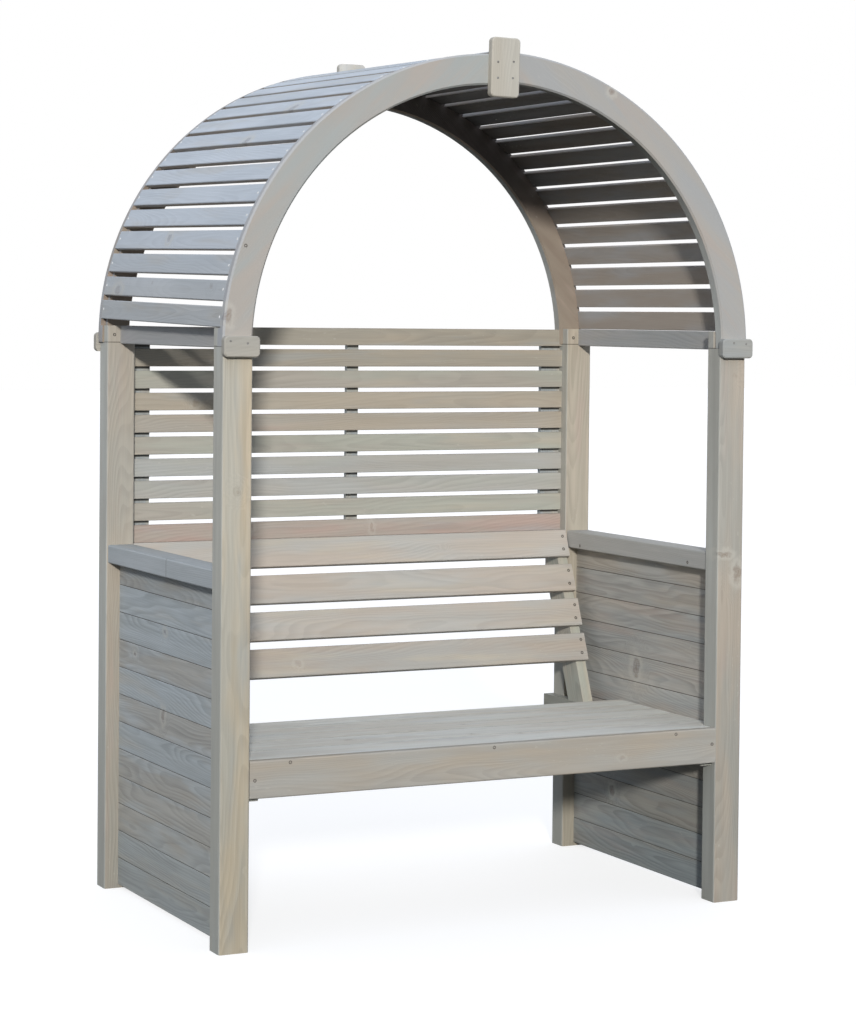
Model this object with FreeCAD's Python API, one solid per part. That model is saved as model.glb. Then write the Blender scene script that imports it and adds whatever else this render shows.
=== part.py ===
import FreeCAD
import Part
import math
import os

os.makedirs("parts", exist_ok=True)

# Garden arbour seat in planed softwood. Four posts carry two half-round arches and a barrel roof
# of slats, with boarded sides, armrests, a bench seat, a reclined slatted back and a trellis above it.
# It faces -Y, its origin is on the ground under its middle, and every size is in millimetres.

# Posts
frame_width = 1340.0
frame_depth = 800.0
post_width = 70.0
post_depth = 58.0
post_arris = 5.0
shoulder_height = 1326.0
tongue_height = 40.0

# Arches, whose feet are half-lapped to the tongues of the posts. Each quarter was nailed up a few
# millimetres out of true, and its shift is given sideways and upwards.
arch_thickness = 32.0
arch_lip = 19.0
arch_arris = 4.0
quarter_shift = {
    ("front", "left"): (-1.0, -4.0),
    ("front", "right"): (4.0, 2.0),
    ("rear", "left"): (-5.0, 11.0),
    ("rear", "right"): (-8.0, 2.0),
}

# Roof slats, let in behind the lip of each arch
slat_count = 35
slat_width = 45.5
slat_thickness = 12.0
slat_arris = 1.5
slat_foot_clearance = 0.5
slat_end_clearance = 0.6
slat_seat_clearance = 0.15

# Plates that cover the joints of the arches
plate_thickness = 18.0
plate_corner = 10.0
plate_arris = 2.5
block_width = 84.0
block_height = 46.0
block_shift = 3.0
keystone_width = 72.0
keystone_height = 135.0
keystone_rise = {"front": 32.0, "rear": 36.0}
keystone_shift = {"front": 5.5, "rear": -2.0}
keystone_turn = {"front": 1.2, "rear": 0.0}

# Eaves rails
rail_inset = 32.0
rail_thickness = 22.0
rail_height = 44.0
rail_arris = 2.0

# Tongued and grooved side boards, and the cleats behind them
ground_clearance = 9.0
board_inset = 34.0
board_thickness = 16.0
board_pitch = 66.4
board_end_gap = 3.0
board_chamfer = 1.5
tongue_thickness = 5.0
tongue_reach = 6.0
groove_clearance = 0.4
cleat_width = 20.0

# Armrests
armrest_top = 836.0
armrest_thickness = 44.0
armrest_inset = 4.0
armrest_arris = 4.0

# Seat
seat_height = 420.0
seat_board_thickness = 20.0
seat_board_arris = 2.0
seat_end_clearance = 2.0
front_boards_depth = 212.0
front_board_count = 2
rear_board_count = 3
main_joint_gap = 2.0
fascia_thickness = 20.0
fascia_height = 84.0
fascia_arris = 4.0
bearer_thickness = 28.0
bearer_height = 72.0
tie_width = 44.0
tie_thickness = 28.0

# Reclined back
recline = 21.8
back_clearance = 11.5
back_head_clearance = 3.6
back_slat_count = 4
back_slat_gap = 21.5
back_slat_thickness = 18.0
back_foot_gap = 91.0
back_support_depth = 74.0
seat_back_gap = 84.0

# Trellis
trellis_slat_count = 10
trellis_slat_width = 43.5
trellis_pitch = 53.9
trellis_drop = 2.0
trellis_slat_thickness = 14.0
trellis_batten_thickness = 14.0
side_batten_width = 54.0
middle_batten_width = 31.0

# Sizes that follow
left_side = -frame_width / 2
right_side = frame_width / 2 - post_width
inner_left = left_side + post_width
inner_right = right_side
front_face = -frame_depth / 2
rear_face = frame_depth / 2
between_posts = (front_face + post_depth, rear_face - post_depth)
post_top = shoulder_height + tongue_height
arch_outer = frame_width / 2
arch_inner = arch_outer - post_width
slat_outer = math.sqrt(arch_outer ** 2 - (slat_width / 2) ** 2)
slat_seat = slat_outer - slat_thickness
crown_height = shoulder_height + arch_outer
armrest_bottom = armrest_top - armrest_thickness
bearer_top = seat_height - seat_board_thickness
trellis_top = post_top - trellis_drop
trellis_bottom = trellis_top - (trellis_slat_count - 1) * trellis_pitch - trellis_slat_width
trellis_front = rear_face - trellis_batten_thickness - trellis_slat_thickness
lean = math.radians(recline)
back_rear_y = trellis_front - back_clearance
back_rear_z = trellis_bottom - back_head_clearance
back_foot_y = back_rear_y - (back_rear_z - bearer_top) * math.tan(lean)
back_slats_height = (back_rear_z - seat_height) / math.cos(lean) - back_foot_gap
back_slat_pitch = (back_slats_height + back_slat_gap) / back_slat_count
back_slat_width = back_slat_pitch - back_slat_gap
seat_front = front_face + fascia_thickness
seat_rear = back_foot_y - seat_back_gap
main_joint = seat_front + front_boards_depth

side_faces = {"left": left_side, "right": right_side}
side_signs = {"left": -1, "right": 1}
end_signs = {"front": -1, "rear": 1}
along_x = FreeCAD.Vector(1, 0, 0)
along_y = FreeCAD.Vector(0, 1, 0)
along_z = FreeCAD.Vector(0, 0, 1)
overcut = 5.0
tolerance = 0.01


def block(x_pair, y_pair, z_pair):
    low = FreeCAD.Vector(min(x_pair), min(y_pair), min(z_pair))
    high = FreeCAD.Vector(max(x_pair), max(y_pair), max(z_pair))
    size = high - low
    return Part.makeBox(size.x, size.y, size.z, low)


def edges_along(shape, direction):
    chosen = []
    for edge in shape.Edges:
        span = edge.lastVertex().Point - edge.firstVertex().Point
        if span.Length > tolerance and span.cross(direction).Length < tolerance:
            chosen.append(edge)
    return chosen


def rounded(shape, direction, radius):
    return shape.makeFillet(radius, edges_along(shape, direction))


def eased(shape, direction, size):
    return shape.makeChamfer(size, edges_along(shape, direction))


def save(name, solids):
    shape = solids[0] if len(solids) == 1 else Part.makeCompound(solids)
    shape.exportStep("parts/" + name + ".step")


# A post is one half thinner above its shoulder, where the foot of the arch stands beside its tongue
def post(x_left, end):
    outer = end * frame_depth / 2
    y_pair = (outer, outer - end * post_depth)
    body = block((x_left, x_left + post_width), y_pair, (0, post_top))
    body = rounded(body, along_z, post_arris)
    lap_x = (x_left - overcut, x_left + post_width + overcut)
    lap_y = (outer + end * overcut, outer - end * arch_thickness)
    return body.cut(block(lap_x, lap_y, (shoulder_height, post_top + overcut)))


def disc(radius, y_pair, shift):
    foot = FreeCAD.Vector(shift[0], min(y_pair), shoulder_height + shift[1])
    return Part.makeCylinder(radius, abs(y_pair[1] - y_pair[0]), foot, along_y)


# The two quarters of an arch meet half way between their own middles
def crown_joint(end_name):
    return (quarter_shift[end_name, "left"][0] + quarter_shift[end_name, "right"][0]) / 2


def arch_edges(shape, radius, y):
    chosen = []
    for edge in shape.Edges:
        curve = edge.Curve
        if isinstance(curve, Part.Circle) and abs(curve.Radius - radius) < tolerance:
            if abs(curve.Center.y - y) < tolerance:
                chosen.append(edge)
    return chosen


# Half of an arch is a quarter ring with a lip, and the rebate for the slats starts above the tongue
def arch_half(side_name, end_name):
    end = end_signs[end_name]
    shift = quarter_shift[end_name, side_name]
    outer_y = end * frame_depth / 2
    inner_y = outer_y - end * arch_thickness
    lip_y = outer_y - end * arch_lip
    rebate_y = (lip_y, inner_y - end * overcut)
    ring = disc(arch_outer, (outer_y, inner_y), shift).cut(disc(arch_inner, (outer_y, inner_y), shift))
    rebate = disc(arch_outer + overcut, rebate_y, shift).cut(disc(slat_seat, rebate_y, shift))
    reach = (crown_joint(end_name), side_signs[side_name] * 2 * arch_outer)
    all_y = (outer_y + end * overcut, inner_y - end * overcut)
    above = shoulder_height + 2 * arch_outer
    rebate = rebate.common(block(reach, all_y, (post_top, above)))
    half = ring.common(block(reach, all_y, (shoulder_height, above)))
    half = half.cut(rebate)
    arrises = arch_edges(half, arch_outer, outer_y) + arch_edges(half, arch_inner, outer_y)
    arrises = arrises + arch_edges(half, arch_inner, inner_y)
    return half.makeChamfer(arch_arris, arrises)


# A slat lies over the middles of the quarters at its front and rear end, and the slat at the crown
# lies on the higher quarter
def slat_middles(side_name):
    if side_name in side_signs:
        return quarter_shift["front", side_name], quarter_shift["rear", side_name]
    middles = []
    for end_name in end_signs:
        left, right = quarter_shift[end_name, "left"], quarter_shift[end_name, "right"]
        middles.append((crown_joint(end_name), max(left[1], right[1])))
    return middles


# The lowest slat stands just above the tongues, and the others share the rest up to the crown evenly
def slat_angles(side_name):
    half_width = slat_width / 2
    lowest_middle = min(shift[1] for shift in slat_middles(side_name))
    rise = tongue_height + slat_foot_clearance - lowest_middle
    reach = math.hypot(slat_seat, half_width)
    lowest = math.degrees(math.atan2(half_width, slat_seat) + math.asin(rise / reach))
    count = slat_count // 2
    step = (90 - lowest) / count
    return [lowest + step * index for index in range(count)]


# The angle is measured from the right, and the slat is turned to run from one middle to the other
def roof_slat(side_name, angle):
    front, rear = slat_middles(side_name)
    middle_x = (front[0] + rear[0]) / 2
    middle_z = shoulder_height + (front[1] + rear[1]) / 2
    x_pair = (middle_x + slat_seat + slat_seat_clearance, middle_x + slat_outer + slat_seat_clearance)
    y_pair = (front_face + arch_lip + slat_end_clearance, rear_face - arch_lip - slat_end_clearance)
    z_pair = (middle_z - slat_width / 2, middle_z + slat_width / 2)
    slat = eased(block(x_pair, y_pair, z_pair), along_y, slat_arris)
    slat.rotate(FreeCAD.Vector(middle_x, 0, middle_z), along_y, -angle)
    between_seats = frame_depth - arch_lip - arch_thickness
    run = FreeCAD.Vector(rear[0] - front[0], between_seats, rear[1] - front[1])
    turn = FreeCAD.Rotation(along_y, run)
    slat.rotate(slat.BoundBox.Center, turn.Axis, math.degrees(turn.Angle))
    return slat


# A cover plate has round corners and an eased rim on its outer face
def cover_plate(center_x, z_pair, width, end):
    face = end * frame_depth / 2
    outer = face + end * plate_thickness
    plate = block((center_x - width / 2, center_x + width / 2), (face, outer), z_pair)
    plate = rounded(plate, along_y, plate_corner)
    rim = [edge for edge in plate.Edges if abs(edge.BoundBox.YMin - outer) < tolerance
           and abs(edge.BoundBox.YMax - outer) < tolerance]
    return plate.makeChamfer(plate_arris, rim)


def joint_block(x_left, end):
    center_x = x_left + post_width / 2 - end * block_shift
    z_pair = (shoulder_height - block_height / 2, shoulder_height + block_height / 2)
    return cover_plate(center_x, z_pair, block_width, end)


# A keystone is nailed on a little askew
def keystone(end_name):
    top = crown_height + keystone_rise[end_name]
    z_pair = (top - keystone_height, top)
    plate = cover_plate(keystone_shift[end_name], z_pair, keystone_width, end_signs[end_name])
    plate.rotate(plate.BoundBox.Center, along_y, keystone_turn[end_name])
    return plate


def eaves_rail(x_left):
    x_low = x_left + rail_inset
    rail = block((x_low, x_low + rail_thickness), between_posts, (post_top - rail_height, post_top))
    return eased(rail, along_y, rail_arris)


# The tongue of one board stands in the groove of the next, and the top board is ripped to fit
def side_board(x_left, low, high, is_first, is_last):
    x_low = x_left + board_inset
    x_middle = x_low + board_thickness / 2
    y_pair = (between_posts[0] + board_end_gap, between_posts[1])
    board = block((x_low, x_low + board_thickness), y_pair, (low, high))
    board = eased(board, along_y, board_chamfer)
    if not is_last:
        half = tongue_thickness / 2
        tongue_z = (high - tongue_reach, high + tongue_reach)
        board = board.fuse(block((x_middle - half, x_middle + half), y_pair, tongue_z))
    if not is_first:
        half = tongue_thickness / 2 + groove_clearance
        groove_y = (y_pair[0] - overcut, y_pair[1] + overcut)
        groove_z = (low - overcut, low + tongue_reach + groove_clearance)
        board = board.cut(block((x_middle - half, x_middle + half), groove_y, groove_z))
    return board.removeSplitter()


def side_boards(x_left):
    count = math.ceil((armrest_bottom - ground_clearance) / board_pitch)
    boards = []
    for index in range(count):
        low = ground_clearance + index * board_pitch
        high = min(low + board_pitch, armrest_bottom)
        boards.append(side_board(x_left, low, high, index == 0, index == count - 1))
    return boards


def side_cleat(x_left, end):
    x_pair = (x_left + board_inset + board_thickness, x_left + post_width)
    post_y = end * (frame_depth / 2 - post_depth)
    return block(x_pair, (post_y, post_y - end * cleat_width), (ground_clearance, armrest_bottom))


def armrest(x_left):
    x_pair = (x_left + armrest_inset, x_left + post_width)
    return rounded(block(x_pair, between_posts, (armrest_bottom, armrest_top)), along_y, armrest_arris)


def seat_fascia():
    z_pair = (seat_height - fascia_height, seat_height)
    fascia = block((inner_left, inner_right), (front_face, seat_front), z_pair)
    front_edges = [edge for edge in edges_along(fascia, along_x)
                   if edge.BoundBox.YMin < front_face + tolerance]
    return fascia.makeFillet(fascia_arris, front_edges)


# The seat boards reach to the side boards, so the first one is notched round the posts and a cleat
def seat_board(y_pair):
    x_low = left_side + board_inset + board_thickness + seat_end_clearance
    x_high = right_side + board_inset - seat_end_clearance
    board = block((x_low, x_high), y_pair, (bearer_top, seat_height))
    board = eased(board, along_x, seat_board_arris)
    z_pair = (bearer_top - overcut, seat_height + overcut)
    cleat_end = between_posts[0] + cleat_width + seat_end_clearance
    post_end = between_posts[0] + seat_end_clearance
    left_x = (x_low - overcut, inner_left + seat_end_clearance)
    right_x = (inner_right - seat_end_clearance, x_high + overcut)
    board = board.cut(block(left_x, (front_face, cleat_end), z_pair))
    return board.cut(block(right_x, (front_face, post_end), z_pair))


def seat_boards():
    front_width = front_boards_depth / front_board_count
    rear_start = main_joint + main_joint_gap
    rear_width = (seat_rear - rear_start) / rear_board_count
    boards = []
    for index in range(front_board_count):
        low = seat_front + index * front_width
        boards.append(seat_board((low, low + front_width)))
    for index in range(rear_board_count):
        low = rear_start + index * rear_width
        boards.append(seat_board((low, low + rear_width)))
    return boards


def seat_bearer(inner_face, inward):
    x_pair = (inner_face, inner_face + inward * bearer_thickness)
    return block(x_pair, (seat_front, rear_face), (bearer_top - bearer_height, bearer_top))


def seat_tie():
    z_pair = (bearer_top - tie_thickness, bearer_top)
    return block((-tie_width / 2, tie_width / 2), (seat_front, seat_rear), z_pair)


# A back support leans on the bearer, and its top corner is cut flush with the rear of the posts
def back_support(inner_face, inward):
    across = back_support_depth / math.cos(lean)
    corners = [
        (back_foot_y, bearer_top),
        (back_foot_y + across, bearer_top),
        (back_rear_y + across, back_rear_z),
        (back_rear_y, back_rear_z),
    ]
    points = [FreeCAD.Vector(inner_face, y, z) for y, z in corners]
    side = Part.Face(Part.makePolygon(points + points[:1]))
    plank = side.extrude(along_x * (inward * bearer_thickness))
    behind = block((inner_left, inner_right), (rear_face, rear_face + across), (bearer_top, trellis_bottom))
    return plank.cut(behind)


def back_slat(index):
    z_high = back_rear_z - index * back_slat_pitch
    y_pair = (back_rear_y - back_slat_thickness, back_rear_y)
    slat = block((inner_left, inner_right), y_pair, (z_high - back_slat_width, z_high))
    slat = eased(slat, along_x, slat_arris)
    slat.rotate(FreeCAD.Vector(0, back_rear_y, back_rear_z), along_x, -recline)
    return slat


# The feet of the rear arch lean in over the trellis, whose top corners are cut to their curve
def cut_to_arch(shape):
    for side_name in side_signs:
        shape = shape.cut(arch_half(side_name, "rear"))
    return shape


def trellis_slat(index):
    z_high = trellis_top - index * trellis_pitch
    y_pair = (trellis_front, trellis_front + trellis_slat_thickness)
    slat = block((inner_left, inner_right), y_pair, (z_high - trellis_slat_width, z_high))
    return cut_to_arch(eased(slat, along_x, slat_arris))


def trellis_batten(x_pair):
    y_pair = (rear_face - trellis_batten_thickness, rear_face)
    batten = block(x_pair, y_pair, (trellis_bottom, trellis_top))
    return cut_to_arch(batten)


for side_name, x_left in side_faces.items():
    for end_name, end in end_signs.items():
        place = end_name + "_" + side_name
        save("post_" + place, [post(x_left, end)])
        save("arch_" + place, [arch_half(side_name, end_name)])
        save("joint_block_" + place, [joint_block(x_left, end)])
        save("side_cleat_" + place, [side_cleat(x_left, end)])
    save("eaves_rail_" + side_name, [eaves_rail(x_left)])
    save("side_boards_" + side_name, side_boards(x_left))
    save("armrest_" + side_name, [armrest(x_left)])

for end_name in end_signs:
    save("keystone_" + end_name, [keystone(end_name)])

save("roof_slats_right", [roof_slat("right", angle) for angle in slat_angles("right")])
save("roof_slat_crown", [roof_slat("crown", 90)])
save("roof_slats_left", [roof_slat("left", 180 - angle) for angle in slat_angles("left")])

save("seat_fascia", [seat_fascia()])
for number, board in enumerate(seat_boards(), start=1):
    save("seat_board_" + str(number), [board])
save("seat_tie", [seat_tie()])

for side_name, inner_face, inward in (("left", inner_left, 1), ("right", inner_right, -1)):
    save("seat_bearer_" + side_name, [seat_bearer(inner_face, inward)])
    save("back_support_" + side_name, [back_support(inner_face, inward)])

for index in range(back_slat_count):
    save("back_slat_" + str(index + 1), [back_slat(index)])

for index in range(trellis_slat_count):
    save("trellis_slat_" + str(index + 1).zfill(2), [trellis_slat(index)])

save("trellis_batten_left", [trellis_batten((inner_left, inner_left + side_batten_width))])
save("trellis_batten_middle", [trellis_batten((-middle_batten_width / 2, middle_batten_width / 2))])
save("trellis_batten_right", [trellis_batten((inner_right - side_batten_width, inner_right))])
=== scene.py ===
import bmesh
import bpy
import math
from mathutils import Matrix, Vector


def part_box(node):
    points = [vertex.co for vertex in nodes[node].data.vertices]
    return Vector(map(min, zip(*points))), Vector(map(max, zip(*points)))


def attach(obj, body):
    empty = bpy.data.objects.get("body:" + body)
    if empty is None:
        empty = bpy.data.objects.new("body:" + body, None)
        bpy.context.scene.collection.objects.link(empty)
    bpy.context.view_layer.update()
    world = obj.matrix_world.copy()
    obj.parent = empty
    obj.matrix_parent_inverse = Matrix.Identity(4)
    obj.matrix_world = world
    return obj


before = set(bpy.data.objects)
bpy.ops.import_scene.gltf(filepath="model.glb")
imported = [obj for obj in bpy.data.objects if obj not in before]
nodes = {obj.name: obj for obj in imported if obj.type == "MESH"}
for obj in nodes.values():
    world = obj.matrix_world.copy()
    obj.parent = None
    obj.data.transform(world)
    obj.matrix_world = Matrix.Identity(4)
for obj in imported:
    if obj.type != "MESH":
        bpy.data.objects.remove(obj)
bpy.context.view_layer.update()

# Garden arbour seat in grey-washed softwood. It faces -Y, stands on z = 0, and every size is in metres.
# These are the sizes of the CAD model that its dressing has to meet.
shoulder_height = 1.326
slats_to_a_side = 17
slat_half_width = 0.02275
slat_outer = 0.66976
slat_seat = 0.65761
slat_run = 0.749
slat_nail_y = 0.370
tongue_height = 0.040
slat_foot_clearance = 0.0005
board_pitch = 0.0664
ground_clearance = 0.009
back_top = Vector((0, 0.3605, 0.8318))
back_slats = 4
back_slat_pitch = 0.0935
back_slat_width = 0.072
back_slat_thickness = 0.018
trellis_slats = 10
trellis_pitch = 0.0539
top_trellis_middle = 1.34225
front_face = -0.400
rear_face = 0.400
plate_face = 0.4176
recline = math.radians(21.8)

# The slats on each side of the roof run from a middle at the front to a middle at the rear, which are
# given as x and the height over the shoulder, with the lower of the two heights
roof_middles = {
    "left": ((-0.001, -0.004), (-0.005, 0.011), -0.004),
    "crown": ((0.0015, 0.002), (-0.0065, 0.011), 0.002),
    "right": ((0.004, 0.002), (-0.008, 0.002), 0.002),
}

axes = {"x": Vector((1, 0, 0)), "y": Vector((0, 1, 0)), "z": Vector((0, 0, 1))}
to_left = Vector((-1, 0, 0))
to_right = Vector((1, 0, 0))
to_front = Vector((0, -1, 0))
to_rear = Vector((0, 1, 0))

# Up the slope of the reclined back, into its slats and out of their front
lean_axis = Vector((0, math.sin(recline), math.cos(recline)))
face_axis = Vector((0, math.cos(recline), -math.sin(recline)))
slat_front = Vector((0, -math.cos(recline), math.sin(recline)))


# Colours are given as screen values from 0 to 255
def colour(red, green, blue):
    def linear(value):
        value = value / 255
        return value / 12.92 if value <= 0.04045 else ((value + 0.055) / 1.055) ** 2.4
    return (linear(red), linear(green), linear(blue), 1.0)


# Washes of the timber
greige = colour(182, 175, 162)
sand = colour(188, 177, 157)
pale = colour(197, 194, 184)
blue_grey = colour(174, 182, 190)
slate = colour(160, 166, 168)
roof_blue = colour(190, 197, 205)
rear_brown = colour(136, 123, 111)
rose = colour(184, 164, 153)
moss = colour(169, 171, 160)
knot_brown = colour(116, 96, 80)
joint_and_shadow_dark = colour(58, 54, 48)
board_brown = colour(166, 158, 146)
crown_painted_shade = colour(136, 134, 130)
deep_shade = colour(172, 172, 172)
low_slat_tint = colour(250, 245, 238)

# How many times in a metre each pattern of the timber changes, along the grain, across the face and into it
knot_cells = (2.4, 7.0, 7.0)
knot_outlines = (90.0, 150.0, 150.0)
ring_waves = (1.6, 8.0, 8.0)
ring_fades = (3.0, 20.0, 20.0)
fine_fibres = (9.0, 330.0, 330.0)
fibre_streaks = (2.0, 55.0, 55.0)
wash_blotches = (2.2, 12.0, 12.0)
stain_blotches = (3.0, 22.0, 22.0)
fleck_spots = (70.0, 190.0, 190.0)
fleck_patches = (6.0, 18.0, 18.0)

ring_width = 0.0033
ring_wave_depth = 0.05
smallest_knot = 0.004
knot_spread = 0.006
knot_stretch = (0.8, 1.0, 0.25)
seed_distance = 17.0

# Ranges over which a face comes to count as turned to a direction, as the cosine between the two
turned_away = (-0.8, -0.95)
turned_well_in = (-0.75, -0.95)
turned_out = (0.4, 0.8)
not_turned_out = (0.55, 0.1)


class Graph:
    def __init__(self, tree):
        self.tree = tree

    def add(self, kind, inputs=None, **settings):
        node = self.tree.nodes.new(kind)
        for key, value in settings.items():
            setattr(node, key, value)
        for key, value in (inputs or {}).items():
            self.feed(node.inputs[key], value)
        return node

    def feed(self, socket, value):
        if isinstance(value, bpy.types.NodeSocket):
            self.tree.links.new(value, socket)
        else:
            socket.default_value = value

    def math(self, operation, *values):
        return self.add("ShaderNodeMath", dict(enumerate(values)), operation=operation).outputs[0]

    def plus(self, first, second):
        return self.math("ADD", first, second)

    def minus(self, first, second):
        return self.math("SUBTRACT", first, second)

    def times(self, first, second):
        return self.math("MULTIPLY", first, second)

    def vector(self, operation, *values):
        node = self.add("ShaderNodeVectorMath", dict(enumerate(values)), operation=operation)
        return node.outputs["Value" if operation in ("LENGTH", "DOT_PRODUCT") else "Vector"]

    def scaled(self, value, factor):
        return self.add("ShaderNodeVectorMath", {0: value, "Scale": factor}, operation="SCALE").outputs[0]

    def combine(self, x, y, z):
        return self.add("ShaderNodeCombineXYZ", {0: x, 1: y, 2: z}).outputs[0]

    def split(self, value):
        return self.add("ShaderNodeSeparateXYZ", {0: value}).outputs

    def position(self):
        return self.add("ShaderNodeTexCoord").outputs["Object"]

    def noise(self, place, scale, detail=2.0, roughness=0.5):
        inputs = {"Vector": place, "Scale": scale, "Detail": detail, "Roughness": roughness}
        return self.add("ShaderNodeTexNoise", inputs).outputs

    # Noise that changes so many times in a metre along each axis
    def pattern(self, place, changes, detail=2.0, roughness=0.5):
        return self.noise(self.vector("MULTIPLY", place, changes), 1.0, detail, roughness)

    def smooth(self, value, low, high, start=0.0, end=1.0):
        inputs = {"Value": value, "From Min": low, "From Max": high, "To Min": start, "To Max": end}
        return self.add("ShaderNodeMapRange", inputs, interpolation_type="SMOOTHSTEP").outputs[0]

    def mix(self, amount, first, second, mode="MIX"):
        node = self.add("ShaderNodeMix", {0: amount, 6: first, 7: second}, data_type="RGBA", blend_type=mode)
        return node.outputs[2]

    def tinted(self, amount, value, tint):
        return self.mix(amount, value, self.mix(1.0, value, tint, "MULTIPLY"))


def new_material(name):
    material = bpy.data.materials.new(name)
    material.use_nodes = True
    material.node_tree.nodes.clear()
    return material, Graph(material.node_tree)


# The figure of softwood. Place is in metres with x along the grain, y across the face and z into it.
# The growth rings are shells round a pith line near the piece, so every face and end shows its own cut.
def make_timber_figure():
    tree = bpy.data.node_groups.new("timber_figure", "ShaderNodeTree")
    for name, kind in (("Place", "NodeSocketVector"), ("Seed", "NodeSocketVector"), ("Pull", "NodeSocketFloat"),
                       ("Knots", "NodeSocketFloat")):
        tree.interface.new_socket(name=name, in_out="INPUT", socket_type=kind)
    for name in ("Rings", "Fibre", "Blotch", "Stain", "Knot", "Fleck", "Height"):
        tree.interface.new_socket(name=name, in_out="OUTPUT", socket_type="NodeSocketFloat")
    g = Graph(tree)
    source = g.add("NodeGroupInput").outputs
    place, seed = source["Place"], source["Seed"]
    seed_x, seed_y, seed_z = g.split(seed)
    shifted = g.vector("ADD", place, g.scaled(seed, seed_distance))

    # Knots: cells of timber of which only some hold one, each a few millimetres across
    cells = g.add("ShaderNodeTexVoronoi", {"Vector": g.vector("MULTIPLY", shifted, knot_cells), "Scale": 1.0})
    middle = g.vector("DIVIDE", cells.outputs["Position"], knot_cells)
    distance = g.vector("LENGTH", g.vector("MULTIPLY", g.vector("SUBTRACT", shifted, middle), knot_stretch))
    lot, size, _ = g.split(cells.outputs["Color"])
    radius = g.math("MULTIPLY_ADD", size, knot_spread, smallest_knot)
    there = g.math("LESS_THAN", lot, source["Knots"])
    ragged = g.pattern(shifted, knot_outlines)[0]
    reach = g.plus(g.math("DIVIDE", distance, radius), g.math("MULTIPLY_ADD", ragged, 1.6, -0.8))
    ripple = g.math("MULTIPLY_ADD", g.math("SINE", g.times(reach, 9.0)), 0.3, 0.7)
    knot = g.times(g.times(g.smooth(reach, 1.4, 0.3), there), ripple)
    near = g.times(g.smooth(reach, 4.0, 0.6), there)
    pull = g.math("MULTIPLY_ADD", g.times(near, radius), 1.5, source["Pull"])

    # Growth rings: the pith line has its own place and slant for each seed, and knots push the shells aside
    wave = g.vector("SUBTRACT", g.pattern(shifted, ring_waves)["Color"], (0.5, 0.5, 0.5))
    wave = g.vector("MULTIPLY", wave, (0.0, ring_wave_depth, ring_wave_depth))
    along = g.split(place)[0]
    pith_across = g.math("MULTIPLY_ADD", seed_x, 0.11, -0.055)
    pith_across = g.plus(pith_across, g.times(along, g.math("MULTIPLY_ADD", seed_y, 0.05, -0.025)))
    pith_depth = g.math("MULTIPLY_ADD", seed_z, 0.09, 0.022)
    pith_depth = g.plus(pith_depth, g.times(along, g.math("MULTIPLY_ADD", seed_x, 0.08, -0.04)))
    from_pith = g.vector("SUBTRACT", g.vector("ADD", place, wave), g.combine(0.0, pith_across, pith_depth))
    shell = g.plus(g.vector("LENGTH", g.vector("MULTIPLY", from_pith, (0.0, 1.0, 1.0))), pull)
    turn = g.math("FRACT", g.math("DIVIDE", shell, ring_width))
    late = g.times(g.smooth(turn, 0.15, 0.82), g.smooth(turn, 1.0, 0.9))
    rings = g.times(late, g.smooth(g.pattern(shifted, ring_fades)[0], 0.3, 0.7, 0.35, 1.0))

    # Fibres, washes and weathered flecks
    fine = g.pattern(shifted, fine_fibres, 3.0, 0.6)[0]
    streak = g.pattern(shifted, fibre_streaks, 3.0, 0.55)[0]
    fibre = g.math("MULTIPLY_ADD", streak, 0.55, g.times(fine, 0.45))
    blotch = g.pattern(shifted, wash_blotches, 3.0, 0.6)[0]
    moved = g.vector("ADD", shifted, (3.7, 1.9, 5.3))
    stain = g.pattern(moved, stain_blotches, 3.0, 0.6)[0]
    spots = g.pattern(shifted, fleck_spots)[0]
    patches = g.pattern(moved, fleck_patches, 1.0)[0]
    fleck = g.times(g.smooth(spots, 0.66, 0.74), g.smooth(patches, 0.52, 0.66))
    relief = g.math("MULTIPLY_ADD", fine, 0.5, g.times(rings, 0.45))

    results = {"Rings": rings, "Fibre": fibre, "Blotch": g.smooth(blotch, 0.36, 0.64),
               "Stain": g.smooth(stain, 0.5, 0.72), "Knot": knot, "Fleck": fleck,
               "Height": g.minus(relief, g.times(knot, 0.3))}
    g.add("NodeGroupOutput", results)
    return tree


figure_tree = make_timber_figure()


def object_part(g, axis):
    return g.split(g.position())["xyz".index(axis)]


# Places in the grain of a straight piece: along the grain, across the face and into it
def straight_place(g, center, along, across, into):
    local = g.vector("SUBTRACT", g.position(), tuple(center))
    return g.combine(*(g.vector("DOT_PRODUCT", local, tuple(axis)) for axis in (along, across, into)))


def random_of(g, index, seed):
    key = g.combine(index, seed, 0.5)
    return g.add("ShaderNodeTexWhiteNoise", {"Vector": key}, noise_dimensions="3D").outputs["Color"]


# The angle of the lowest slat over its own side of the roof, and the step from one slat to the next
def slat_steps(side):
    reach = math.hypot(slat_seat, slat_half_width)
    rise = tongue_height + slat_foot_clearance - roof_middles[side][2]
    lowest = math.atan2(slat_half_width, slat_seat) + math.asin(rise / reach)
    return lowest, (math.pi / 2 - lowest) / slats_to_a_side


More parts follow.
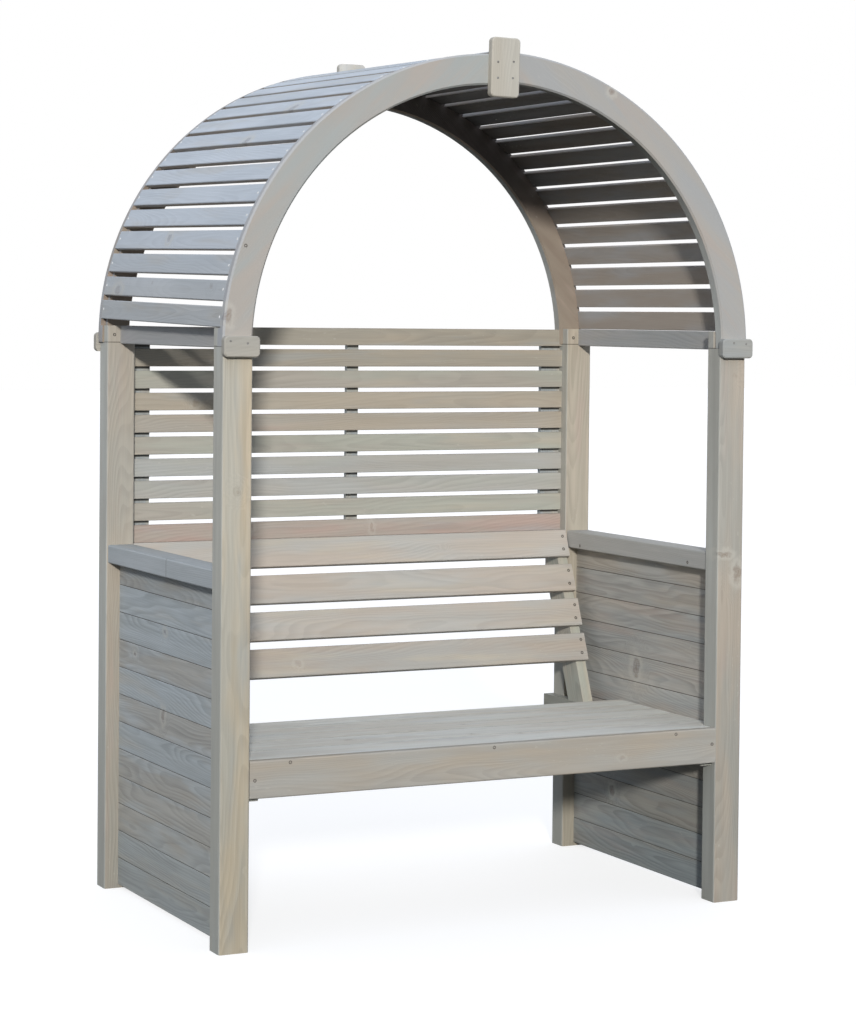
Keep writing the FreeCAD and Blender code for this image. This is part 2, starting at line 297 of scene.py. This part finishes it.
# Places in the grain of the roof slats, each of which is its own piece of timber
def slat_place(g, side):
    lowest, step = slat_steps(side)
    front, rear, _ = roof_middles[side]
    sign = -1.0 if side == "left" else 1.0
    x, y, z = g.split(g.position())
    run = g.math("MULTIPLY_ADD", y, 1 / slat_run, 0.5)
    middle_x = g.math("MULTIPLY_ADD", run, rear[0] - front[0], front[0])
    middle_z = g.math("MULTIPLY_ADD", run, rear[1] - front[1], front[1] + shoulder_height)
    out = g.times(g.minus(x, middle_x), sign)
    rise = g.minus(z, middle_z)
    angle = g.minus(g.math("ARCTAN2", rise, out), lowest)
    index = g.math("ROUND", g.math("DIVIDE", angle, step))
    rest = g.minus(angle, g.times(index, step))
    radius = g.vector("LENGTH", g.combine(out, rise, 0.0))
    across = g.times(rest, slat_outer)
    into = g.minus(slat_outer, radius)
    return g.combine(y, across, into), random_of(g, index, 1.5 + sign)


# How many side boards lie below a place
def board_level(g):
    return g.math("DIVIDE", g.minus(object_part(g, "z"), ground_clearance), board_pitch)


# Places in the grain of the side boards
def board_place(g, seed, into_x):
    level = board_level(g)
    across = g.times(g.minus(g.math("FRACT", level), 0.5), board_pitch)
    into = g.minus(object_part(g, "x"), into_x)
    return g.combine(object_part(g, "y"), across, into), random_of(g, g.math("FLOOR", level), seed)


# Dark where two side boards meet
def board_joints(g):
    level = board_level(g)
    off = g.math("ABSOLUTE", g.minus(level, g.math("ROUND", level)))
    return g.smooth(g.times(off, board_pitch), 0.0013, 0.0005)


# Whether a place is on one of the side boards with these numbers, counted from 0 at the ground
def is_board(g, numbers):
    here = g.math("FLOOR", board_level(g))
    found = 0.0
    for number in numbers:
        found = g.plus(g.math("COMPARE", here, float(number), 0.5), found)
    return found


# A knot that the piece is known to have, at a place in the scene and with a half size along each axis: its
# brown core with rings, the pale halo round it and how far it pushes the growth rings aside
def known_knot(g, spot, half_size):
    position = g.position()
    middling = sorted(half_size)[1]
    ragged = g.noise(position, 0.8 / middling, 3.0, 0.6)["Color"]
    ragged = g.scaled(g.vector("SUBTRACT", ragged, (0.5, 0.5, 0.5)), middling * 2.0)
    offset = g.vector("ADD", g.vector("SUBTRACT", position, spot), ragged)
    reach = g.vector("LENGTH", g.vector("DIVIDE", offset, half_size))
    ripple = g.math("MULTIPLY_ADD", g.math("SINE", g.times(reach, 11.0)), 0.3, 0.7)
    core = g.times(g.smooth(reach, 1.3, 0.3), ripple)
    halo = g.times(g.smooth(reach, 2.6, 1.2), g.smooth(reach, 0.8, 1.4))
    return core, halo, g.times(g.smooth(reach, 4.0, 0.6), middling * 1.6)


# The material of one node. Tones are its two washes and the tone of its stains. All else can be left out:
# - knots are places and half sizes of those it is known to have, knot_depth is how dark these are, and
#   random_knots is the share of its timber's cells that hold another
# - contrast is that of rings and fibres, blotch that of the washes, and wear how pale the arrises are
# - sides is the tone of the faces that turn along x, painted light that makes them cooler than the fronts, and edges
#   that of all faces that don't turn up, painted shade on the seat boards
# - inside and outside are the tones of the faces that turn to the inside and the outside of the roof, where inside
#   is browner with painted shade on the slats and paler as painted light on the arches' soffits, slats says that the
#   piece is the roof's slats, and front_shade is painted shade on the front of an arch towards the crown
# - the joint and shadow lines are dark lines across the surface, as axis, place and half width: real joints, and on
#   the battens painted shadow under each slat, which a flag keeps to its front faces
# - browner numbers the side boards that kept more of their brown, counted from 0 at the ground; on the top board
#   under the armrest the brown is partly painted shade
# - foot is a tint that grows from the higher of two heights down to the lower
# - variety is how far the pieces in one node differ
def timber(name, place_of, tones, knots=(), knot_depth=0.5, random_knots=0.12, contrast=1.0, blotch=1.0, wear=0.12,
           sides=None, edges=None, inside=None, outside=None, slats=False, front_shade=None, joints=(),
           front_joints=False, browner=None, foot=None, variety=0.14):
    material, g = new_material(name)
    place, seed = place_of(g)
    known, halo, pull = 0.0, 0.0, 0.0
    for spot, half_size in knots:
        core, pale_ring, bend = known_knot(g, spot, half_size)
        known = g.math("MAXIMUM", core, known)
        halo = g.math("MAXIMUM", pale_ring, halo)
        pull = g.plus(bend, pull)
    inputs = {"Place": place, "Seed": seed, "Pull": pull, "Knots": random_knots}
    out = g.add("ShaderNodeGroup", inputs, node_tree=figure_tree).outputs
    geometry = g.add("ShaderNodeNewGeometry").outputs
    normal_x, normal_y, normal_z = g.split(geometry["True Normal"])
    to_the_front = g.smooth(normal_y, *turned_away)

    first, second, third = tones
    wash = g.mix(g.times(out["Blotch"], blotch), first, second)
    wash = g.mix(g.times(out["Stain"], 0.5 * blotch), wash, third)
    # Painted light: faces that turn along x take a cooler tone than the fronts
    if sides:
        side_wash = g.mix(g.times(out["Blotch"], 0.4), sides, wash)
        wash = g.mix(g.smooth(g.math("ABSOLUTE", normal_x), 0.5, 0.9), wash, side_wash)
    # Painted shade: faces that don't turn up take the darker edges tone
    if edges:
        wash = g.mix(g.smooth(normal_z, 0.97, 0.85), wash, edges)

    # Roof insides: slats browner, unwashed timber with painted shade; arch soffits paler, painted light; darker to
    # the crown, painted shade
    if inside:
        over_shoulder = g.minus(object_part(g, "z"), shoulder_height)
        outward = g.vector("NORMALIZE", g.combine(object_part(g, "x"), 0.0, over_shoulder))
        facing = g.vector("DOT_PRODUCT", outward, geometry["True Normal"])
        climb = g.split(outward)[2]
        turned_in = g.smooth(facing, *turned_away)
        inner = g.smooth(facing, *(not_turned_out if slats else turned_well_in))
        wash = g.mix(inner, wash, g.mix(g.times(out["Blotch"], 0.5), inside, wash))
        wash = g.tinted(g.times(turned_in, g.smooth(climb, 0.3, 0.95)), wash, crown_painted_shade)
    if slats:
        deep = g.times(g.smooth(object_part(g, "y"), -0.30, 0.34), g.smooth(climb, 0.35, 0.7))
        wash = g.tinted(g.times(deep, turned_in), wash, deep_shade)
        low = g.times(g.smooth(climb, 0.42, 0.10), g.smooth(facing, *turned_out))
        wash = g.tinted(low, wash, low_slat_tint)
    # Painted shade: the front of a rear arch is darker towards the crown
    if front_shade:
        wash = g.tinted(g.times(to_the_front, g.smooth(climb, 0.45, 0.75)), wash, front_shade)
    if outside:
        wash = g.mix(g.smooth(facing, *turned_out), wash, g.mix(g.times(out["Blotch"], 0.5), outside, wash))

    shade = g.math("MULTIPLY_ADD", out["Rings"], -0.15 * contrast, 1.02)
    shade = g.times(shade, g.smooth(out["Fibre"], 0.3, 0.7, 1.0 - 0.11 * contrast, 1.0 + 0.08 * contrast))
    if isinstance(seed, bpy.types.NodeSocket):
        shade = g.times(shade, g.math("MULTIPLY_ADD", g.split(seed)[2], variety, 1.0 - variety / 2))
    if browner:
        patchy = g.smooth(out["Blotch"], 0.2, 0.9, 0.5, 0.2)
        wash = g.mix(g.times(is_board(g, browner), patchy), wash, board_brown)
    if foot:
        tint, low, high = foot
        wash = g.tinted(g.smooth(object_part(g, "z"), high, low), wash, tint)
    wash = g.mix(1.0, wash, g.combine(shade, shade, shade), "MULTIPLY")
    wash = g.mix(g.times(out["Fleck"], 0.3), wash, pale)
    wash = g.mix(g.times(halo, 0.8 * knot_depth), wash, pale)
    wash = g.mix(g.times(out["Knot"], 0.3), wash, knot_brown)
    wash = g.mix(g.times(known, knot_depth), wash, knot_brown)

    # Worn arrises are a little paler
    if wear:
        soft = g.add("ShaderNodeBevel", {"Radius": 0.004}, samples=4).outputs[0]
        arris = g.smooth(g.vector("DOT_PRODUCT", soft, geometry["Normal"]), 0.97, 0.8)
        wash = g.mix(g.times(arris, wear), wash, pale)

    # Joints that are only a line on the surface, and on the battens painted shadow lines under the slats
    for axis, level, half_width in joints:
        off = g.math("ABSOLUTE", g.minus(object_part(g, axis), level))
        line = g.smooth(off, half_width + 0.0005, half_width - 0.0005, 0.0, 0.75)
        wash = g.mix(g.times(line, to_the_front if front_joints else 1.0), wash, joint_and_shadow_dark)
    if browner:
        wash = g.mix(g.times(board_joints(g), 0.7), wash, joint_and_shadow_dark)

    rough = g.smooth(out["Fibre"], 0.3, 0.7, 0.74, 0.92)
    bump = g.add("ShaderNodeBump", {"Strength": 0.35, "Distance": 0.0012, "Height": out["Height"]}).outputs[0]
    inputs = {"Base Color": wash, "Roughness": rough, "Normal": bump, "Specular IOR Level": 0.25}
    g.add("ShaderNodeOutputMaterial", {"Surface": g.add("ShaderNodeBsdfPrincipled", inputs).outputs[0]})
    return material


def paint(name, place_of, tones, **options):
    mesh = nodes[name].data
    mesh.materials.clear()
    mesh.materials.append(timber(name + "_wood", place_of, tones, **options))


# Each straight piece gets the next of a row of seeds that stay well apart, however many there are
seed_count = 0


def next_seed():
    global seed_count
    seed_count += 1
    return tuple(math.modf(seed_count * step)[0] for step in (0.618034, 0.754878, 0.569840))


# A straight piece is a kept CAD solid, so its grain only needs its middle and its axes
def paint_straight(name, grain, tones, **options):
    low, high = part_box(name)
    seed = next_seed()
    directions = [axes[letter] for letter in grain] if isinstance(grain, str) else grain
    paint(name, lambda g: (straight_place(g, (low + high) / 2, *directions), seed), tones, **options)


# Posts, whose faces that turn along x take a cooler tone than the fronts, painted light
post_tones = {
    "front_left": (colour(191, 178, 156), colour(179, 177, 167), slate),
    "rear_left": (colour(176, 166, 152), colour(168, 165, 156), rose),
    "front_right": (colour(181, 170, 156), colour(166, 165, 158), rose),
    "rear_right": (colour(182, 172, 156), colour(174, 167, 152), rose),
}
post_knots = {
    "front_right": [((0.655, -0.400, 0.790), (0.012, 0.03, 0.020)), ((0.615, -0.400, 0.836), (0.018, 0.03, 0.008))],
}
post_foot = ((0.78, 0.79, 0.79, 1), 0.1, 1.2)
for end in ("front", "rear"):
    for side in ("left", "right"):
        place = end + "_" + side
        paint_straight("post_" + place, "zxy", post_tones[place], knots=post_knots.get(place, []),
                       random_knots=0.03, contrast=0.85, blotch=0.8, sides=colour(189, 190, 184),
                       joints=[("z", shoulder_height, 0.001)], foot=post_foot)

# Arches, the plates over their joints, and the cleats that hold the side boards to the posts
rear_arch_tones = (rear_brown, colour(150, 139, 126), rose)
arch_tones = {
    "front_left": (colour(172, 166, 159), colour(163, 168, 167), colour(179, 164, 153)),
    "front_right": (colour(169, 165, 159), colour(163, 164, 164), colour(176, 162, 151)),
}
arch_knots = {
    "front_left": [((-0.659, -0.400, 1.394), (0.009, 0.02, 0.016))],
    "front_right": [((0.293, -0.400, 1.920), (0.008, 0.02, 0.008))],
}
arch_shades = {"front": None, "rear": colour(172, 176, 184)}
block_tones = {
    "left": (colour(166, 163, 155), greige, slate),
    "right": (colour(156, 156, 152), slate, greige),
}
keystone_tones = {"front": colour(187, 183, 173), "rear": colour(199, 197, 190)}
for end in ("front", "rear"):
    for side, sign in (("left", -1), ("right", 1)):
        place = end + "_" + side
        grain = (Vector((-sign, 0, 1)).normalized(), Vector((sign, 0, 1)).normalized(), axes["y"])
        paint_straight("arch_" + place, grain, arch_tones.get(place, rear_arch_tones),
                       knots=arch_knots.get(place, []), random_knots=0.0, contrast=0.15, blotch=0.9, wear=0,
                       inside=colour(188, 191, 188), outside=colour(172, 174, 177), front_shade=arch_shades[end])
        paint_straight("joint_block_" + place, "xzy", block_tones[side], random_knots=0.0, contrast=0.5,
                       blotch=0.5)
        paint_straight("side_cleat_" + place, "zyx", (greige, moss, slate))
    paint_straight("keystone_" + end, "zxy", (keystone_tones[end], greige, blue_grey), random_knots=0.0,
                   contrast=0.5, blotch=0.7)

# Rails and armrests
rail_tones = (colour(175, 174, 174), colour(165, 169, 170), greige)
armrest_tones = {
    "left": (colour(175, 180, 183), slate, greige),
    "right": (colour(173, 172, 168), colour(166, 167, 164), slate),
}
armrest_joints = {"left": [("y", -0.051, 0.001)], "right": []}
for side in ("left", "right"):
    paint_straight("eaves_rail_" + side, "yzx", rail_tones, contrast=0.6, blotch=0.6)
    paint_straight("armrest_" + side, "yxz", armrest_tones[side], random_knots=0.04, contrast=0.7, blotch=0.6,
                   joints=armrest_joints[side])

# Roof slats
roof_knots = {
    "left": [((-0.394, -0.130, 1.870), (0.016, 0.020, 0.016)), ((-0.484, -0.070, 1.793), (0.013, 0.019, 0.013)),
             ((-0.628, 0.040, 1.570), (0.009, 0.013, 0.011)), ((-0.664, 0.290, 1.452), (0.009, 0.021, 0.012))],
    "crown": [],
    "right": [],
}
for side, name in (("left", "roof_slats_left"), ("crown", "roof_slat_crown"), ("right", "roof_slats_right")):
    paint(name, lambda g: slat_place(g, side), (roof_blue, blue_grey, greige), knots=roof_knots[side],
          random_knots=0.15, contrast=0.45, blotch=0.6, wear=0.05, inside=colour(172, 162, 152), slats=True,
          variety=0.06)

# Side boards, each side with its own seed and the x of the boards' middle
# The top board under each armrest is among the browner ones, there partly painted shade from the armrest
board_options = {
    "left": {"tones": (colour(169, 175, 177), colour(176, 184, 189), greige),
             "knots": [((-0.636, 0.032, 0.658), (0.02, 0.010, 0.007)),
                       ((-0.636, 0.041, 0.461), (0.02, 0.011, 0.014)),
                       ((-0.636, 0.232, 0.583), (0.02, 0.008, 0.005))],
             "browner": (2, 3, 4, 6, 8, 11), "foot": ((0.88, 0.86, 0.82, 1), 0.05, 0.45)},
    "right": {"tones": (colour(174, 169, 161), slate, rose),
              "knots": [((0.634, 0.031, 0.512), (0.03, 0.017, 0.024)),
                        ((0.634, 0.144, 0.180), (0.03, 0.012, 0.012))],
              "browner": (2, 4, 10, 11), "foot": ((0.79, 0.86, 0.90, 1), 0.05, 0.45)},
}
for side, seed, board_middle in (("left", 3.5, -0.628), ("right", 7.5, 0.642)):
    paint("side_boards_" + side, lambda g: board_place(g, seed, board_middle), random_knots=0.04, contrast=1.35,
          blotch=0.6, variety=0.11, **board_options[side])

# Bench. The seat boards are paler than the other timber, partly weathering and partly painted light on their tops,
# and the faces of boards 2 to 5 that don't turn up are darker, painted shade
paint_straight("seat_fascia", "xzy", (colour(164, 156, 144), colour(163, 162, 157), colour(174, 161, 143)),
               knots=[((0.341, -0.400, 0.365), (0.009, 0.02, 0.005))], knot_depth=0.2, contrast=0.6, blotch=0.8)
seat_tones = (colour(219, 220, 215), colour(210, 205, 195), colour(198, 205, 211))
seat_knots = {
    1: [((0.134, -0.285, 0.420), (0.009, 0.006, 0.02))],
    2: [((-0.280, -0.215, 0.420), (0.012, 0.008, 0.02)), ((0.022, -0.250, 0.420), (0.008, 0.006, 0.02))],
    3: [((0.070, -0.110, 0.420), (0.008, 0.006, 0.02))],
}
for number in range(1, 6):
    paint_straight("seat_board_" + str(number), "xyz", seat_tones, knots=seat_knots.get(number, []),
                   random_knots=0.05, blotch=0.7, wear=0, edges=colour(160, 158, 152) if number > 1 else None)
paint_straight("seat_tie", "yxz", (greige, slate, moss))

# Back, of which each slat is darker than the top one by so many screen values
for side in ("left", "right"):
    # The seat bearers take a darker tone, painted shade under the seat
    paint_straight("seat_bearer_" + side, "yzx", (colour(146, 147, 144), colour(150, 150, 140), greige))
    paint_straight("back_support_" + side, (lean_axis, face_axis, axes["x"]), (greige, moss, sand))
back_knots = {4: [((-0.215, 0.225, 0.541), (0.009, 0.02, 0.006))]}
for number, drop in enumerate((0, 4, 5, 13), start=1):
    tones = (colour(181 - drop, 171 - drop, 160 - drop), colour(177 - drop, 177 - drop, 173 - drop), sand)
    paint_straight("back_slat_" + str(number), (axes["x"], lean_axis, face_axis), tones,
                   knots=back_knots.get(number, []), knot_depth=0.2, contrast=0.6, blotch=0.8)

# Trellis, from the top slat down
trellis_grey = colour(170, 164, 154)
trellis_warm = colour(174, 163, 147)
shaded_slat = (colour(162, 156, 144), trellis_warm, slate)
mossy_slat = (trellis_grey, moss, sand)
cool_slat = (colour(173, 170, 163), colour(172, 174, 172), moss)
trellis_tones = (
    shaded_slat, shaded_slat, mossy_slat, (colour(173, 166, 153), trellis_warm, slate),
    (trellis_grey, trellis_warm, rose), mossy_slat, cool_slat, cool_slat, mossy_slat,
    (colour(176, 156, 146), trellis_grey, slate))
trellis_knots = {
    4: [((-0.431, 0.364, 1.177), (0.009, 0.02, 0.009))],
    10: [((0.051, 0.364, 0.858), (0.006, 0.02, 0.013)), ((-0.279, 0.364, 0.867), (0.006, 0.02, 0.009))],
}
for number, tones in enumerate(trellis_tones, start=1):
    paint_straight("trellis_slat_" + str(number).zfill(2), "xzy", tones, knots=trellis_knots.get(number, []),
                   knot_depth=0.3, random_knots=0.06, contrast=0.7, blotch=0.8)

# Painted shadow: the front of each batten is dark just under all slats but the lowest, where the slat above shades it
under_slats = [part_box("trellis_slat_" + str(number).zfill(2))[0].z for number in range(1, trellis_slats)]
batten_painted_shadows = [("z", level - 0.003, 0.003) for level in under_slats]
for place in ("left", "middle", "right"):
    paint_straight("trellis_batten_" + place, "zxy", (greige, slate, moss), joints=batten_painted_shadows, front_joints=True)


# Steel of the nails and screws
def make_steel(name, bright, dark, metallic):
    material, g = new_material(name)
    dull = g.noise(g.position(), 420.0, 3.0, 0.6)[0]
    tint = g.mix(g.smooth(dull, 0.35, 0.65), bright, dark)
    rough = g.smooth(dull, 0.3, 0.7, 0.32, 0.55)
    bump = g.add("ShaderNodeBump", {"Strength": 0.2, "Distance": 0.0002, "Height": dull}).outputs[0]
    inputs = {"Base Color": tint, "Roughness": rough, "Normal": bump, "Metallic": metallic}
    g.add("ShaderNodeOutputMaterial", {"Surface": g.add("ShaderNodeBsdfPrincipled", inputs).outputs[0]})
    return material


nail_steel = make_steel("nail_steel", colour(236, 238, 240), colour(206, 206, 204), 0.5)
dull_steel = make_steel("dull_steel", colour(146, 146, 144), colour(104, 100, 95), 0.6)
screw_steel = make_steel("screw_steel", colour(120, 116, 110), colour(78, 72, 66), 0.8)


# A turned profile of (radius, height) pairs, closed at its foot
def turned(mesh, profile, matrix, sides):
    angles = [2 * math.pi * index / sides for index in range(sides)]
    rings = []
    for radius, height in profile:
        spots = [Vector((radius * math.cos(angle), radius * math.sin(angle), height)) for angle in angles]
        rings.append([mesh.verts.new(matrix @ spot) for spot in spots])
    for low, high in zip(rings, rings[1:]):
        for index in range(sides):
            after = (index + 1) % sides
            mesh.faces.new((low[index], low[after], high[after], high[index]))
    mesh.faces.new(list(reversed(rings[0])))
    return rings


# The recess of a cross head is a plus-shaped pit with slanting walls
def cross_pit(mesh, matrix, arm, half, top, bottom):
    outline = [(arm, -half), (arm, half), (half, half), (half, arm), (-half, arm), (-half, half),
               (-arm, half), (-arm, -half), (-half, -half), (-half, -arm), (half, -arm), (half, -half)]
    upper = [mesh.verts.new(matrix @ Vector((x, y, top))) for x, y in outline]
    lower = [mesh.verts.new(matrix @ Vector((x * 0.6, y * 0.6, bottom))) for x, y in outline]
    for index in range(len(outline)):
        after = (index + 1) % len(outline)
        mesh.faces.new((upper[index], upper[after], lower[after], lower[index]))
    mesh.faces.new(lower)
    return upper


nail_profile = [(0.0012, -0.0030), (0.0014, -0.0006), (0.0030, -0.0005), (0.0031, 0.0001), (0.0027, 0.0005),
                (0.0012, 0.0007)]
screw_profile = [(0.0030, -0.0030), (0.0040, -0.0004), (0.0041, 0.0002), (0.0037, 0.0003)]


def nail(mesh, matrix):
    mesh.faces.new(turned(mesh, nail_profile, matrix, 20)[-1])


def screw(mesh, matrix):
    rim = turned(mesh, screw_profile, matrix, 24)[-1]
    pit = cross_pit(mesh, matrix, 0.0024, 0.0006, 0.0001, -0.0014)
    edges = []
    for ring in (rim, pit):
        for pair in zip(ring, ring[1:] + ring[:1]):
            edges.append(mesh.edges.get(pair) or mesh.edges.new(pair))
    bmesh.ops.triangle_fill(mesh, use_beauty=True, use_dissolve=False, edges=edges)


# Puts nails or screws at spots into one piece, each with its head towards a direction and at its own turn
def fasteners(name, spots, kind, steel):
    mesh = bmesh.new()
    for spot, direction in spots:
        aim = direction.to_track_quat("Z", "Y").to_matrix().to_4x4()
        kind(mesh, Matrix.Translation(spot) @ aim @ Matrix.Rotation(spot.x * 37 + spot.z * 53, 4, "Z"))
    bmesh.ops.recalc_face_normals(mesh, faces=mesh.faces)
    data = bpy.data.meshes.new(name)
    mesh.to_mesh(data)
    mesh.free()
    data.materials.append(steel)
    piece = bpy.data.objects.new(name, data)
    bpy.context.scene.collection.objects.link(piece)
    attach(piece, "root")


# The nails through one end of the roof slats, each driven a millimetre or two off its line
def slat_spots(side, y):
    lowest, step = slat_steps(side)
    front, rear, _ = roof_middles[side]
    run = y / slat_run + 0.5
    middle_x = front[0] + run * (rear[0] - front[0])
    middle_z = front[1] + run * (rear[1] - front[1]) + shoulder_height
    sign = -1 if side == "left" else 1
    spots = []
    for index in range(slats_to_a_side) if side != "crown" else [slats_to_a_side]:
        angle = lowest + step * index
        shift = 0.0022 * math.sin(index * 2.4 + y)
        outward = Vector((sign * math.cos(angle), 0, math.sin(angle)))
        across = Vector((-sign * math.sin(angle), 0, math.cos(angle)))
        middle = Vector((middle_x, y + 0.0018 * math.sin(index * 1.7), middle_z))
        spots.append((middle + outward * slat_outer + across * shift, outward))
    return spots


for end, sign in (("front", -1), ("rear", 1)):
    for side in roof_middles:
        fasteners("slat_nails_" + end + "_" + side, slat_spots(side, sign * slat_nail_y), nail, nail_steel)

# Nails of the keystones and joint blocks, as x and z at the front, which is turned round at the rear
plate_spots = [(-0.015, 1.972), (0.025, 1.974), (-0.015, 1.936), (0.023, 1.937), (-0.660, 1.338), (-0.620, 1.333),
               (0.626, 1.339), (0.660, 1.337)]
fasteners("plate_nails_front", [(Vector((x, -plate_face, z)), to_front) for x, z in plate_spots], nail, dull_steel)
fasteners("plate_nails_rear", [(Vector((-x, plate_face, z)), to_rear) for x, z in plate_spots], nail, dull_steel)

fascia_spots = [(-0.504, 0.412), (0.003, 0.412), (0.489, 0.412), (-0.588, 0.377), (0.590, 0.382)]
fasteners("fascia_screws", [(Vector((x, front_face, z)), to_front) for x, z in fascia_spots], screw, screw_steel)
arch_spots = [(Vector((-0.619, front_face, 1.545)), to_front), (Vector((0.619, rear_face, 1.545)), to_rear)]
fasteners("arch_screws", arch_spots, screw, screw_steel)
tongue_spots = [(Vector((-0.653, 0.342, 1.344)), to_front), (Vector((0.617, 0.342, 1.343)), to_front)]
fasteners("tongue_screws", tongue_spots, screw, screw_steel)
armrest_spots = [(Vector((0.604, 0.272, 0.801)), to_left), (Vector((0.604, -0.257, 0.804)), to_left),
                 (Vector((-0.600, 0.272, 0.801)), to_right), (Vector((-0.600, -0.257, 0.804)), to_right)]
fasteners("armrest_screws", armrest_spots, screw, screw_steel)

# Two screws fix each end of a back slat to its support
back_spots = []
for index in range(back_slats):
    middle = back_top - lean_axis * (index * back_slat_pitch + back_slat_width / 2) + slat_front * back_slat_thickness
    for x in (-0.586, 0.586):
        for step in (-0.017, 0.018):
            back_spots.append((middle + lean_axis * step + Vector((x + step * 0.1, 0, 0)), slat_front))
fasteners("back_slat_screws", back_spots, screw, screw_steel)

# The battens of the trellis are screwed on from behind
batten_spots = []
for x in (-0.573, 0.0, 0.573):
    for index in range(trellis_slats):
        spot = Vector((x + 0.004 * math.sin(index * 2.1), rear_face, top_trellis_middle - index * trellis_pitch))
        batten_spots.append((spot, to_rear))
fasteners("trellis_screws", batten_spots, screw, screw_steel)


# Whether a surface is looked at, and doesn't only give light to another
def looked_at(g):
    path = g.add("ShaderNodeLightPath").outputs
    bounced = g.math("MAXIMUM", path["Is Glossy Ray"], path["Is Transmission Ray"])
    return g.math("MAXIMUM", path["Is Camera Ray"], bounced)


# The floor is white to the eye and grey to the light, so that it does not light the roof from below
floor_half = 40.0
corners = [(-floor_half, -floor_half, 0), (floor_half, -floor_half, 0), (floor_half, floor_half, 0),
           (-floor_half, floor_half, 0)]
floor_mesh = bpy.data.meshes.new("floor")
floor_mesh.from_pydata(corners, [], [(0, 1, 2, 3)])
floor = bpy.data.objects.new("floor", floor_mesh)
bpy.context.scene.collection.objects.link(floor)
floor_material, g = new_material("floor")
grey = g.add("ShaderNodeBsdfDiffuse", {"Color": colour(88, 87, 81)}).outputs[0]
shadowed = g.add("ShaderNodeBsdfDiffuse", {"Color": colour(170, 170, 170)}).outputs[0]
glow = g.add("ShaderNodeEmission", {"Color": (1, 1, 1, 1), "Strength": 0.72}).outputs[0]
white = g.add("ShaderNodeAddShader", {0: shadowed, 1: glow}).outputs[0]
surface = g.add("ShaderNodeMixShader", {0: looked_at(g), 1: grey, 2: white}).outputs[0]
g.add("ShaderNodeOutputMaterial", {"Surface": surface})
floor_mesh.materials.append(floor_material)

# The world is white to the eye, and to the light an overcast sky that is brighter towards the top
world = bpy.data.worlds.new("studio")
bpy.context.scene.world = world
world.use_nodes = True
world.node_tree.nodes.clear()
g = Graph(world.node_tree)
height = g.split(g.add("ShaderNodeTexCoord").outputs["Generated"])[2]
overcast = g.add("ShaderNodeMapRange", {"Value": height, "To Min": 0.42, "To Max": 0.78}).outputs[0]
sky = g.add("ShaderNodeBackground", {"Color": (0.87, 0.96, 1.12, 1), "Strength": overcast}).outputs[0]
white = g.add("ShaderNodeBackground", {"Color": (1, 1, 1, 1), "Strength": 1.0}).outputs[0]
surface = g.add("ShaderNodeMixShader", {0: looked_at(g), 1: sky, 2: white}).outputs[0]
g.add("ShaderNodeOutputWorld", {"Surface": surface})


# A sun that shines from a direction, with its softness as an angle in degrees
def sun(name, direction, strength, softness, tint):
    data = bpy.data.lights.new(name, "SUN")
    data.energy = strength
    data.angle = math.radians(softness)
    data.color = tint
    lamp = bpy.data.objects.new(name, data)
    lamp.rotation_mode = "QUATERNION"
    lamp.rotation_quaternion = Vector(direction).to_track_quat("Z", "Y")
    bpy.context.scene.collection.objects.link(lamp)


sun("key", (-0.3835, -0.8819, 0.276), 2.75, 4, (1.0, 0.975, 0.93))
sun("fill", (0.55, 0.80, 0.22), 0.8, 60, (0.95, 0.97, 1.0))

# The camera stands where the photograph was taken from. Its lens is measured in the photograph's pixels.
photo_width, photo_height = 856, 1024
focal_length = 2662.10
lens_middle = (454.78, 394.69)
sensor = 36
yaw, pitch, roll = 0.4696, -0.0292, 0.0099
forward = Vector((math.sin(yaw), math.cos(yaw), 0))
sideways = Vector((math.cos(yaw), -math.sin(yaw), 0))
look = forward * math.cos(pitch) + axes["z"] * math.sin(pitch)
lift = axes["z"] * math.cos(pitch) - forward * math.sin(pitch)
right_axis = sideways * math.cos(roll) + lift * math.sin(roll)
up_axis = lift * math.cos(roll) - sideways * math.sin(roll)
camera_data = bpy.data.cameras.new("camera")
camera_data.sensor_width = sensor
camera_data.lens = focal_length * sensor / photo_height
camera_data.shift_x = (photo_width / 2 - lens_middle[0]) / photo_height
camera_data.shift_y = (lens_middle[1] - photo_height / 2) / photo_height
camera = bpy.data.objects.new("camera", camera_data)
turn = Matrix((right_axis, up_axis, -look)).transposed()
camera.matrix_world = Matrix.Translation((-2.82694, -5.75889, 1.39479)) @ turn.to_4x4()
bpy.context.scene.collection.objects.link(camera)
bpy.context.scene.camera = camera
bpy.context.scene.view_settings.view_transform = "Standard"
